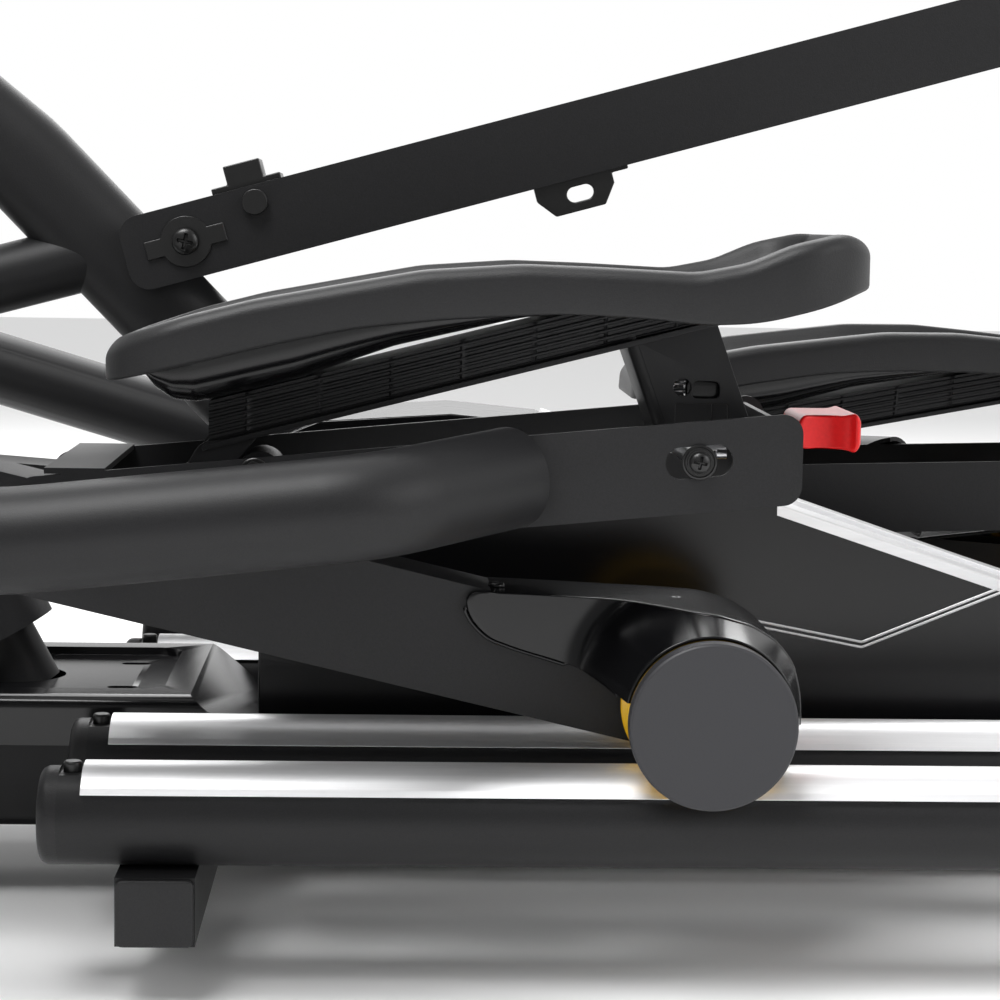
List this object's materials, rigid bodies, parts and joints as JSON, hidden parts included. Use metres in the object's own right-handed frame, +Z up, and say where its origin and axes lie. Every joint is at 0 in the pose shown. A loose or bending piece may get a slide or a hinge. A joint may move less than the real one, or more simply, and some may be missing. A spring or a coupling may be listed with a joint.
{
  "type": "elliptical trainer",
  "caption": "Elliptical trainer with rail-riding rollers, crank-driven foot beams, tilting pedals with lock levers, swing arms, console and a small saddle on a boom.",
  "frame": {"origin": "on the floor under the middle of the machine", "axes": "+X to the rear of the machine, +Y to its right side, +Z up"},
  "size_m": [1.81, 0.84, 1.6253],
  "materials": {
    "frame_paint": "satin powder coat",
    "black_steel": "black zinc",
    "bright_strip": "brushed",
    "steel": "machined",
    "iron": "cast",
    "gloss_black": "gloss",
    "matte_black": "fine grain",
    "disc_grey": "satin",
    "urethane": "translucent urethane",
    "lever_red": "moulded",
    "foam": "foam grip",
    "rubber": "matte",
    "screen": "gloss",
    "saddle_vinyl": "grained vinyl"
  },
  "bodies": {
    "frame": {"main_frame": "frame_paint", "stabilizers": "frame_paint", "stabilizer_caps": "matte_black", "levelling_feet": "rubber", "front_post": "frame_paint", "post_boot": "matte_black", "mast": "frame_paint", "mast_strut": "frame_paint", "base_cover": "gloss_black", "centre_housing_left": "gloss_black", "centre_housing_right": "gloss_black", "housing_trim": "bright_strip", "rail_tubes": "frame_paint", "rail_strips": "bright_strip", "rail_plugs": "matte_black", "rail_screws": "black_steel", "drive_housing_left": "gloss_black", "drive_housing_right": "gloss_black", "drive_frame": "frame_paint", "drive_belt": "rubber", "wheel_brackets": "frame_paint", "swing_axle": "steel", "console_housing": "matte_black", "console_screen": "screen", "fixed_handlebar": "frame_paint", "boom": "frame_paint", "boom_fasteners": "black_steel", "boom_brackets": "black_steel"},
    "crank": {"crank_shaft": "steel", "crank_discs": "frame_paint", "drive_pulley": "matte_black"},
    "flywheel": {"flywheel": "iron"},
    "seat": {"seat_post": "steel", "saddle": "saddle_vinyl"},
    "start_key": {"start_button": "matte_black"},
    "stop_key": {"stop_button": "matte_black"},
    "left_carriage": {"left_roller_axle": "steel", "left_roller_disc": "disc_grey"},
    "left_rollers": {"left_roller_wheels": "urethane"},
    "left_beam": {"left_foot_beam": "frame_paint", "left_roller_cover": "gloss_black"},
    "left_arm": {"left_pedal_arm": "frame_paint"},
    "left_pedal": {"left_pedal_tread": "matte_black", "left_pedal_frame": "frame_paint"},
    "left_lever": {"left_lock_lever": "lever_red"},
    "left_swing_arm_body": {"left_swing_arm": "frame_paint", "left_swing_grip": "foam"},
    "left_transport": {"transport_wheel_left": "matte_black"},
    "right_carriage": {"right_roller_axle": "steel", "right_roller_disc": "disc_grey"},
    "right_rollers": {"right_roller_wheels": "urethane"},
    "right_beam": {"right_foot_beam": "frame_paint", "right_roller_cover": "gloss_black"},
    "right_arm": {"right_pedal_arm": "frame_paint"},
    "right_pedal": {"right_pedal_tread": "matte_black", "right_pedal_frame": "frame_paint"},
    "right_lever": {"right_lock_lever": "lever_red"},
    "right_swing_arm_body": {"right_swing_arm": "frame_paint", "right_swing_grip": "foam"},
    "right_transport": {"transport_wheel_right": "matte_black"}
  },
  "joints": [
    {"name": "left_stride", "type": "slide", "parent": "frame", "child": "left_carriage", "axis": [1, 0, 0], "range_m": [0, 0.31]},
    {"name": "right_stride", "type": "slide", "parent": "frame", "child": "right_carriage", "axis": [1, 0, 0], "range_m": [-0.311, 0.001]},
    {"name": "left_beam_pitch", "type": "hinge", "parent": "left_carriage", "child": "left_beam", "pos_m": [0.363, -0.208, 0.145], "axis": [0, 1, 0], "range_deg": [-9.09, 0.1]},
    {"name": "left_roller_spin", "type": "hinge", "parent": "left_carriage", "child": "left_rollers", "pos_m": [0.363, -0.208, 0.145], "axis": [0, 1, 0], "range_deg": [-2, 672.25]},
    {"name": "left_arm_pivot", "type": "hinge", "parent": "left_beam", "child": "left_arm", "pos_m": [0.134, -0.208, 0.26], "axis": [0, 1, 0], "range_deg": [-0.1, 12.89]},
    {"name": "left_pedal_tilt", "type": "hinge", "parent": "left_arm", "child": "left_pedal", "pos_m": [0.095, -0.208, 0.254], "axis": [0, 1, 0], "range_deg": [-4, 4]},
    {"name": "left_lock_release", "type": "slide", "parent": "left_arm", "child": "left_lever", "axis": [0.9955, 0, 0.0946], "range_m": [0, 0.01], "stiffness_N_per_m": 900, "springref_m": -0.008},
    {"name": "left_swing", "type": "hinge", "parent": "frame", "child": "left_swing_arm_body", "pos_m": [-0.285, -0.4, 1.15], "axis": [0, 1, 0], "range_deg": [-20.04, 0.1]},
    {"name": "right_beam_pitch", "type": "hinge", "parent": "right_carriage", "child": "right_beam", "pos_m": [0.67676, 0.208, 0.145], "axis": [0, 1, 0], "range_deg": [-0.1, 9.09]},
    {"name": "right_roller_spin", "type": "hinge", "parent": "right_carriage", "child": "right_rollers", "pos_m": [0.67676, 0.208, 0.145], "axis": [0, 1, 0], "range_deg": [-672.25, 2]},
    {"name": "right_arm_pivot", "type": "hinge", "parent": "right_beam", "child": "right_arm", "pos_m": [0.43246, 0.208, 0.22234], "axis": [0, 1, 0], "range_deg": [-12.89, 0.1]},
    {"name": "right_pedal_tilt", "type": "hinge", "parent": "right_arm", "child": "right_pedal", "pos_m": [0.39314, 0.208, 0.21897], "axis": [0, 1, 0], "range_deg": [-4, 4]},
    {"name": "right_lock_release", "type": "slide", "parent": "right_arm", "child": "right_lever", "axis": [0.9996, 0, 0.0276], "range_m": [0, 0.01], "stiffness_N_per_m": 900, "springref_m": -0.008},
    {"name": "right_swing", "type": "hinge", "parent": "frame", "child": "right_swing_arm_body", "pos_m": [-0.285, 0.4, 1.15], "axis": [0, 1, 0], "range_deg": [-0.1, 20.04]},
    {"name": "crank_turn", "type": "hinge", "parent": "frame", "child": "crank", "pos_m": [-0.63625, 0, 0.32], "axis": [0, 1, 0], "continuous": true},
    {"name": "flywheel_spin", "type": "hinge", "parent": "frame", "child": "flywheel", "pos_m": [-0.778, 0, 0.198], "axis": [0, 1, 0], "continuous": true},
    {"name": "left_transport_spin", "type": "hinge", "parent": "frame", "child": "left_transport", "pos_m": [-0.877, -0.23, 0.032], "axis": [0, 1, 0], "continuous": true},
    {"name": "right_transport_spin", "type": "hinge", "parent": "frame", "child": "right_transport", "pos_m": [-0.877, 0.23, 0.032], "axis": [0, 1, 0], "continuous": true},
    {"name": "seat_height", "type": "slide", "parent": "frame", "child": "seat", "axis": [0, 0, 1], "range_m": [-0.1, 0.12]},
    {"name": "start_press", "type": "slide", "parent": "frame", "child": "start_key", "axis": [-0.9063, 0, -0.4226], "range_m": [0, 0.003], "stiffness_N_per_m": 700, "springref_m": -0.001},
    {"name": "stop_press", "type": "slide", "parent": "frame", "child": "stop_key", "axis": [-0.9063, 0, -0.4226], "range_m": [0, 0.003], "stiffness_N_per_m": 700, "springref_m": -0.001}
  ],
  "couplings": [
    {"joint": "right_stride", "follows": "left_stride", "ratio": -1},
    {"joint": "left_beam_pitch", "follows": "left_stride", "rad_per_m": -0.50617},
    {"joint": "left_roller_spin", "follows": "left_stride", "rad_per_m": 37.736},
    {"joint": "left_arm_pivot", "follows": "left_stride", "rad_per_m": 0.72022},
    {"joint": "left_swing", "follows": "left_stride", "rad_per_m": -1.1225},
    {"joint": "right_beam_pitch", "follows": "left_stride", "rad_per_m": 0.50617},
    {"joint": "right_roller_spin", "follows": "left_stride", "rad_per_m": -37.736},
    {"joint": "right_arm_pivot", "follows": "left_stride", "rad_per_m": -0.72022},
    {"joint": "right_swing", "follows": "left_stride", "rad_per_m": 1.1225},
    {"joint": "flywheel_spin", "follows": "crank_turn", "ratio": 5.9091}
  ]
}
